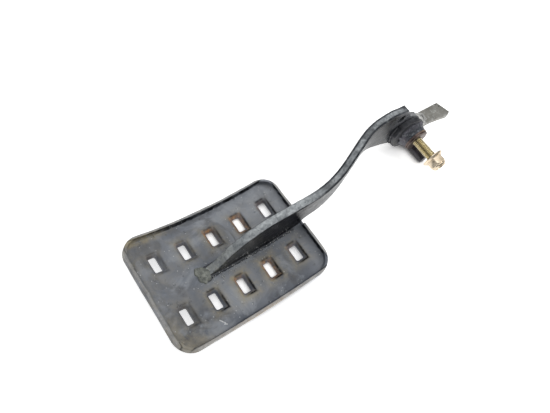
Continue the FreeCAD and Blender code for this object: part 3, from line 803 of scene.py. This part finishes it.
def make_arm():
    """Flat bar, rubbed along its upper edge and round its nose, darker at the bend, with painted shade
    inside the hole and on its near side over the foot plate.
    """
    piece = remeshed(cad_copy("arm_bar", "arm_flat_bar"), 0.45 * MM, 2)
    roughened(piece, 0.10 * MM, 60, 11)
    roughened(piece, 0.04 * MM, 420, 12)
    mesh = piece.data
    points = get_points(mesh)
    x, _, z = points.T
    upward = get_normals(mesh)[:, 2]
    from_middle = np.abs(arm_across(points))
    nose = step_mm(-x, 150, 165)
    facing_up = np.maximum(soft_step(upward, 0.45, 0.75), nose * soft_step(upward, 0.15, 0.35))
    top = facing_up * step_mm(BAR / 2 - from_middle, 0.1, 0.5)
    end_face = step_mm(x, -17, -15)
    strip = step_mm(from_middle, 1.3, 1.9) * soft_step(upward, 0.15, 0.45)
    bend = step_mm(x, -118, -98)
    head = step_mm(x, -34, -16)
    from_hole = np.hypot(x - SPRING_HOLE[0], z - SPRING_HOLE[1])
    set_attributes(mesh, top=top * (1 - 0.6 * end_face), edge_line=strip * (0.12 + 0.88 * bend) * (1 - nose),
                   bend=top * np.maximum(bend, 2 * step_mm(x, -25, -18)),
                   dim=head * step_mm(z, 12, 19) * (1 - 0.5 * top),
                   hole=1 - step_mm(from_hole - SPRING_HOLE_RADIUS, 0.1, 0.6),
                   shade=step_mm(-x, 114, 122) * (1 - nose), tan=0.7 * step_mm(-x, 168, 192))
    finish_piece(piece, PEDAL, "frame_paint", arm_material(), "arm_bar")


# ---------------------------------------------------------------- welds

def lumps_mesh(name, lumps, subdivisions):
    """Mesh of overlapping balls from (centre, radius, squash) entries."""
    work = bmesh.new()
    for centre, radius, squash in lumps:
        matrix = Matrix.Translation(centre) @ Matrix.Diagonal((*squash, 1.0))
        bmesh.ops.create_icosphere(work, subdivisions=subdivisions, radius=radius, matrix=matrix)
    mesh = bpy.data.meshes.new(name)
    work.to_mesh(mesh)
    work.free()
    return mesh


def make_weld(name, node, slot, material, seed, lumps):
    """One weld of melted-together balls, in place of a CAD node."""
    piece = remeshed(new_object(name, lumps_mesh("lumps", lumps, 3)), 0.4 * MM, 2)
    roughened(piece, 0.16 * MM, 480, seed)
    finish_piece(piece, PEDAL, slot, material, node)


def plate_bead(side, seed):
    """Bead along one side of the arm on the plate."""
    draw = random.Random(seed)
    lumps = []
    arc = NOSE_ARC + 2 * MM
    while arc < BEAD_END_ARC:
        size = draw.uniform(1.0, 1.4) * MM
        away = BAR / 2 + 0.4 * MM + draw.uniform(-0.2, 0.25) * MM
        lumps.append((plate_place(arc, side * away, SHEET + 0.25 * MM), size, (1.0, 1.0, 0.95)))
        arc += draw.uniform(0.6, 0.9) * MM
    return lumps


def blob_lumps(seed):
    """Mound of weld at the arm's nose."""
    draw = random.Random(seed)
    lumps = []
    for _ in range(110):
        angle = draw.uniform(0, 2 * math.pi)
        share = math.sqrt(draw.random())
        reach = (4.9 + 0.9 * math.sin(3 * angle + 1)) * MM * share
        rise = SHEET + (2.2 - 2.2 * share) * MM
        place = plate_place(BLOB_ARC + 1.15 * reach * math.cos(angle), reach * math.sin(angle), rise)
        lumps.append((place, draw.uniform(0.6, 1.6) * MM, (1, 1, 0.8)))
    return lumps


def ring_lumps(radius, y, size, seed, x=0.0, z=0.0, above=-math.inf):
    """Ring of balls about an axis along Y, leaving out those that are not above a level."""
    draw = random.Random(seed)
    lumps = []
    steps = int(2 * math.pi * radius / (size * 0.7))
    for i in range(steps):
        angle = 2 * math.pi * i / steps
        grow = draw.uniform(0.85, 1.2)
        centre = Vector((x + radius * math.cos(angle), y, z + radius * math.sin(angle)))
        if centre.z > above:
            lumps.append((centre, size * grow, (1.0, 0.9, 1.0)))
    return lumps


def fillet_lumps(seed):
    """Rough fillet between the tube and the head plate."""
    draw = random.Random(seed)
    lumps = []
    for _ in range(420):
        angle = draw.uniform(0, 2 * math.pi)
        share = draw.random()
        away = TUBE_RADIUS + (2.4 * (1 - share) ** 1.5 - 0.5) * MM
        y = HEAD_PLATE_Y + (0.4 - 3.6 * share) * MM
        centre = Vector((away * math.cos(angle), y, away * math.sin(angle)))
        lumps.append((centre, draw.uniform(0.8, 1.15) * MM, (1, 1, 1)))
    return lumps


def line_lumps(points, size, gap, seed):
    """Balls along a line through points given in millimetres."""
    draw = random.Random(seed)
    lumps = []
    for first, last in zip(points, points[1:]):
        first = Vector(first) * MM
        last = Vector(last) * MM
        steps = max(1, round((last - first).length / gap))
        for i in range(steps + 1):
            shake = Vector([draw.uniform(-0.15, 0.15) * size for _ in range(3)])
            lumps.append((first.lerp(last, i / steps) + shake, size * draw.uniform(0.85, 1.15), (1, 1, 1)))
    return lumps


def make_welds(head_paint, plate_paint):
    """All welds, by name, CAD node, slot, material, seed and balls."""
    painted = weld_material("weld_enamel", WELD_PAINT_DARK, WELD_PAINT_LIGHT, 0.38, 0.0)
    tip_paint = weld_material("weld_tip_enamel", WELD_TIP_DARK, WELD_TIP_LIGHT, 0.38, 0.0)
    silver = weld_material("weld_silver", WELD_SILVER_DARK, WELD_SILVER_LIGHT, 0.28, 0.2)
    make_weld("weld_bead_plate_near", "weld_plate_near", "weld_paint", painted, 21, plate_bead(-1, 21))
    make_weld("weld_bead_plate_far", "weld_plate_far", "weld_paint", painted, 22, plate_bead(1, 22))
    make_weld("weld_blob_arm_tip", "weld_arm_tip", "weld_paint", tip_paint, 23, blob_lumps(23))
    make_weld("weld_ring_tube_near", "weld_tube_near", "head_paint", head_paint, 24, fillet_lumps(24))
    tube_ring = ring_lumps(TUBE_RADIUS + 0.7 * MM, HEAD_FAR_Y - 0.2 * MM, 1.3 * MM, 25)
    make_weld("weld_ring_tube_far", "weld_tube_far", "head_paint", head_paint, 25, tube_ring)
    pin_ring = ring_lumps(4.2 * MM, HEAD_PLATE_Y - 0.3 * MM, 1.3 * MM, 26, PIN_X, PIN_Z, PIN_Z - 1.5 * MM)
    make_weld("weld_ring_pin", "weld_pin", "head_paint", plate_paint, 26, pin_ring)
    tail_top = line_lumps([(13.8, 9.6, 2.8), (14.4, 18.6, 2.8)], 1.9 * MM, 1.3 * MM, 27)
    tail_top += line_lumps([(12.6, 9.9, 4.6), (12.8, 18.1, 4.8)], 1.5 * MM, 1.3 * MM, 31)
    tail_top += line_lumps([(16.6, 9.0, 2.4), (17.8, 18.4, 2.4), (20.6, 17.0, 2.2), (19.6, 11.5, 2.2)],
                           1.1 * MM, 1.4 * MM, 32)
    make_weld("weld_bead_tail_top", "weld_tail_top", "weld_bare", silver, 27, tail_top)
    tail_under = line_lumps([(13.6, 9.6, -3.0), (13.8, 18.6, -3.0)], 1.8 * MM, 1.3 * MM, 28)
    make_weld("weld_bead_tail_under", "weld_tail_under", "weld_bare", silver, 28, tail_under)
    head_line = line_lumps([(-16.0, 12.6, -7.0), (-20.6, 12.6, 5.9), (-18.4, 12.6, 14.0)],
                           0.9 * MM, 0.6 * MM, 29)
    make_weld("weld_bead_head_plate", "weld_head_plate", "head_paint", plate_paint, 29, head_line)


def make_spatter():
    """Beads of weld metal stuck to the plate beside the arm and to the arm's near side."""
    draw = random.Random(41)
    lumps = []
    first_arc = NOSE_ARC / MM
    for _ in range(90):
        arc = draw.uniform(first_arc - 3, 54) * MM
        away = BAR / 2 + 1.5 * MM + abs(draw.gauss(0, 3.2)) * MM
        side = draw.choice((-1, -1, -1, 1)) * away
        if all(outside_box(arc - centre, side - row_side, FUNNEL_SIZE) > 0
               for centre, row_side, _, _ in slot_centres()):
            size = draw.uniform(0.18, 0.42) * MM
            lumps.append((plate_place(arc, side, SHEET + size * 0.3), size, (1, 1, 0.8)))
    for _ in range(46):
        arc = draw.uniform(first_arc + 3, 50) * MM
        size = draw.uniform(0.28, 0.46) * MM
        turn = math.radians(draw.uniform(5, 75))
        side = -(BAR / 2 + (0.4 + 1.25 * math.cos(turn)) * MM)
        lumps.append((plate_place(arc, side, SHEET + (0.25 + 1.25 * math.sin(turn)) * MM), size, (1, 1, 1)))
    for _ in range(40):
        arc = draw.uniform(first_arc + 6, 50) * MM
        rise = draw.uniform(3.5, 8.0) * MM
        size = draw.uniform(0.2, 0.38) * MM
        lumps.append((plate_place(arc, -BAR / 2, SHEET + rise), size, (1, 0.7, 1)))
    piece = new_object("weld_spatter", lumps_mesh("spatter", lumps, 2))
    finish_piece(piece, PEDAL, "weld_bare", spatter_material())


# ---------------------------------------------------------------- pivot

def make_head(head_paint, plate_paint):
    """Head plate and pivot tube, the tube lumpy on its outside behind the head plate."""
    plate = remeshed(cad_copy("head_plate", "head_plate_cut"), 0.4 * MM, 3)
    roughened(plate, 0.12 * MM, 260, 51)
    finish_piece(plate, PEDAL, "head_paint", plate_paint, "head_plate")
    tube = remeshed(cad_copy("pivot_tube", "pivot_tube_turned"), 0.35 * MM, 1)
    mesh = tube.data
    points = get_points(mesh)
    x, y, z = points.T
    lumpy = step_mm(np.hypot(x, z), 9.3, 9.9) * step_mm(y, 2.6, 3.6)
    shift = lumpy * (cloud(points, 420, 52) * 0.20 * MM + cloud(points, 180, 53) * 0.14 * MM)
    set_points(mesh, points + get_normals(mesh) * shift[:, None])
    finish_piece(tube, PEDAL, "head_paint", head_paint, "pivot_tube")


def threaded_rod(start, end, core_end):
    """Rod along Y with a helical thread from start to end, plain from there to core_end."""
    around = 72
    rows_per_pitch = 10
    along = int((core_end - start) / (THREAD_PITCH / rows_per_pitch))
    work = bmesh.new()
    rows = []
    for j in range(along + 1):
        y = start + (core_end - start) * j / along
        fade = min(1.0, max(0.0, (end - y) / THREAD_PITCH)) * min(1.0, 0.35 + (y - start) / THREAD_PITCH)
        chamfer = max(0.0, 0.6 * MM - (y - start)) * 0.8
        row = []
        for i in range(around):
            turn = i / around
            phase = (y / THREAD_PITCH - turn) % 1.0
            ridge = min(1.0, max(0.0, abs(phase - 0.5) * 2 * 1.3 - 0.15))
            radius = BOLT_RADIUS - THREAD_DEPTH * ridge * fade - chamfer
            angle = 2 * math.pi * turn
            row.append(work.verts.new((radius * math.cos(angle), y, radius * math.sin(angle))))
        rows.append(row)
    for low, high in zip(rows, rows[1:]):
        for i in range(around):
            k = (i + 1) % around
            work.faces.new((low[i], high[i], high[k], low[k]))
    work.faces.new(rows[0])
    work.faces.new(list(reversed(rows[-1])))
    bmesh.ops.recalc_face_normals(work, faces=work.faces)
    mesh = bpy.data.meshes.new("thread")
    work.to_mesh(mesh)
    work.free()
    return mesh


def make_bolt():
    """The CAD bolt's head with rounded edges, on a shank with a real thread."""
    low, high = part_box("pivot_bolt")
    head = cad_copy("pivot_bolt", "pivot_bolt_m8")
    cut_y = high.y - BOLT_HEAD_HEIGHT - 1 * MM
    work = bmesh.new()
    work.from_mesh(head.data)
    cut = bmesh.ops.bisect_plane(work, geom=list(work.verts) + list(work.edges) + list(work.faces),
                                 plane_co=(0, cut_y, 0), plane_no=(0, 1, 0), clear_inner=True)
    edges = [item for item in cut["geom_cut"] if isinstance(item, bmesh.types.BMEdge)]
    bmesh.ops.holes_fill(work, edges=edges)
    bmesh.ops.dissolve_limit(work, angle_limit=FLAT_ANGLE, verts=work.verts, edges=work.edges)
    work.to_mesh(head.data)
    work.free()
    add_bevel(head, 0.3 * MM, 2)
    baked(head)
    joined = bmesh.new()
    joined.from_mesh(head.data)
    joined.from_mesh(threaded_rod(low.y, THREAD_END_Y, cut_y))
    joined.to_mesh(head.data)
    joined.free()
    zinc = plated_material("bolt_yellow_zinc", *BOLT_COLOURS, 0.22, 0.1, 0.15)
    finish_piece(head, HARDWARE, "zinc_yellow", zinc, "pivot_bolt")


def make_bushes():
    """Two flanged bushes, tan towards their upper +X side."""
    film = bush_material()
    for node in ("bush_outer", "bush_inner"):
        piece = crisp(node, node + "_flanged", 0.2 * MM)
        x, _, z = get_points(piece.data).T
        set_attributes(piece.data, tan=np.exp(-((np.arctan2(z, x) - 0.7) / 0.8) ** 2))
        finish_piece(piece, PEDAL, "bush_bronze", film, node)


def make_tail():
    """Tail lever with a few dark spots, each at x and y with a size, in millimetres."""
    tail = remeshed(cad_copy("tail_lever", "tail_lever_flat"), 0.35 * MM, 2)
    roughened(tail, 0.09 * MM, 120, 62)
    points = get_points(tail.data)
    spots = np.zeros(len(points))
    for x, y, size in ((40.0, 16.2, 0.6), (38.4, 18.9, 0.5), (33.2, 17.2, 0.25)):
        away = np.hypot(points[:, 0] - x * MM, points[:, 1] - y * MM)
        spots = np.maximum(spots, 1 - step_mm(away, size * 0.6, size * 1.5))
    set_attributes(tail.data, spots=spots)
    finish_piece(tail, PEDAL, "bare_steel", bare_material(), "tail_lever")


def make_hardware():
    """Nut, washers, sleeve, bushes, stop pin and tail lever."""
    nut_zinc = plated_material("nut_pale_zinc", *NUT_COLOURS, 0.17, 0.1, 0.1)
    nut = crisp("flange_nut", "flange_nut_m8", 0.32 * MM, 3)
    finish_piece(nut, HARDWARE, "nut_zinc", nut_zinc, "flange_nut")
    steel = plated_material("washer_brown", *WASHER_COLOURS, 0.34, 0.6)
    ground = plated_material("sleeve_ground", *SLEEVE_COLOURS, 0.25, 0.4)
    for node in ("washer_outer", "washer_inner"):
        finish_piece(crisp(node, node + "_plain", 0.18 * MM), HARDWARE, "washer_steel", steel, node)
    sleeve = crisp("spacer_sleeve", "spacer_sleeve_ground", 0.15 * MM)
    finish_piece(sleeve, HARDWARE, "sleeve_steel", ground, "spacer_sleeve")
    make_bushes()
    pin = remeshed(cad_copy("stop_pin", "stop_pin_round"), 0.3 * MM, 2)
    roughened(pin, 0.06 * MM, 380, 61)
    finish_piece(pin, PEDAL, "pin_steel", pin_material(), "stop_pin")
    make_tail()


# ---------------------------------------------------------------- studio

def make_studio():
    """White floor, even white world and two round lamps."""
    bpy.ops.mesh.primitive_plane_add(size=FLOOR_SIZE, location=FLOOR_CENTRE)
    floor = bpy.context.object
    floor.name = "studio_floor"
    floor.data.materials.append(floor_material())
    world = bpy.data.worlds.new("studio_world")
    bpy.context.scene.world = world
    world.use_nodes = True
    background = world.node_tree.nodes["Background"]
    background.inputs["Color"].default_value = (1.0, 1.0, 1.0, 1.0)
    background.inputs["Strength"].default_value = WORLD_STRENGTH
    for name, offset, size, power in LIGHTS:
        data = bpy.data.lights.new(name, "AREA")
        data.shape = "DISK"
        data.size = size
        data.energy = power
        lamp = bpy.data.objects.new(name, data)
        lamp.location = LIGHT_TARGET + Vector(offset)
        lamp.rotation_euler = (LIGHT_TARGET - lamp.location).to_track_quat("-Z", "Y").to_euler()
        bpy.context.scene.collection.objects.link(lamp)
    bpy.context.scene.view_settings.view_transform = "Standard"


def make_camera():
    data = bpy.data.cameras.new("camera")
    data.sensor_width = CAMERA_SENSOR
    data.lens = CAMERA_LENS
    data.shift_x = -CAMERA_SHIFT
    data.shift_y = CAMERA_SHIFT
    data.clip_start = 0.01
    camera = bpy.data.objects.new("camera", data)
    axes = Matrix((Vector(CAMERA_RIGHT), Vector(CAMERA_UP), -Vector(CAMERA_FORWARD))).transposed()
    camera.matrix_world = Matrix.Translation(CAMERA_PLACE) @ axes.to_4x4()
    bpy.context.scene.collection.objects.link(camera)
    bpy.context.scene.camera = camera


make_camera()
make_studio()
make_foot_plate()
make_arm()
head_enamel = head_material()
head_plate_enamel = head_plate_material()
make_head(head_enamel, head_plate_enamel)
make_welds(head_enamel, head_plate_enamel)
make_spatter()
make_bolt()
make_hardware()
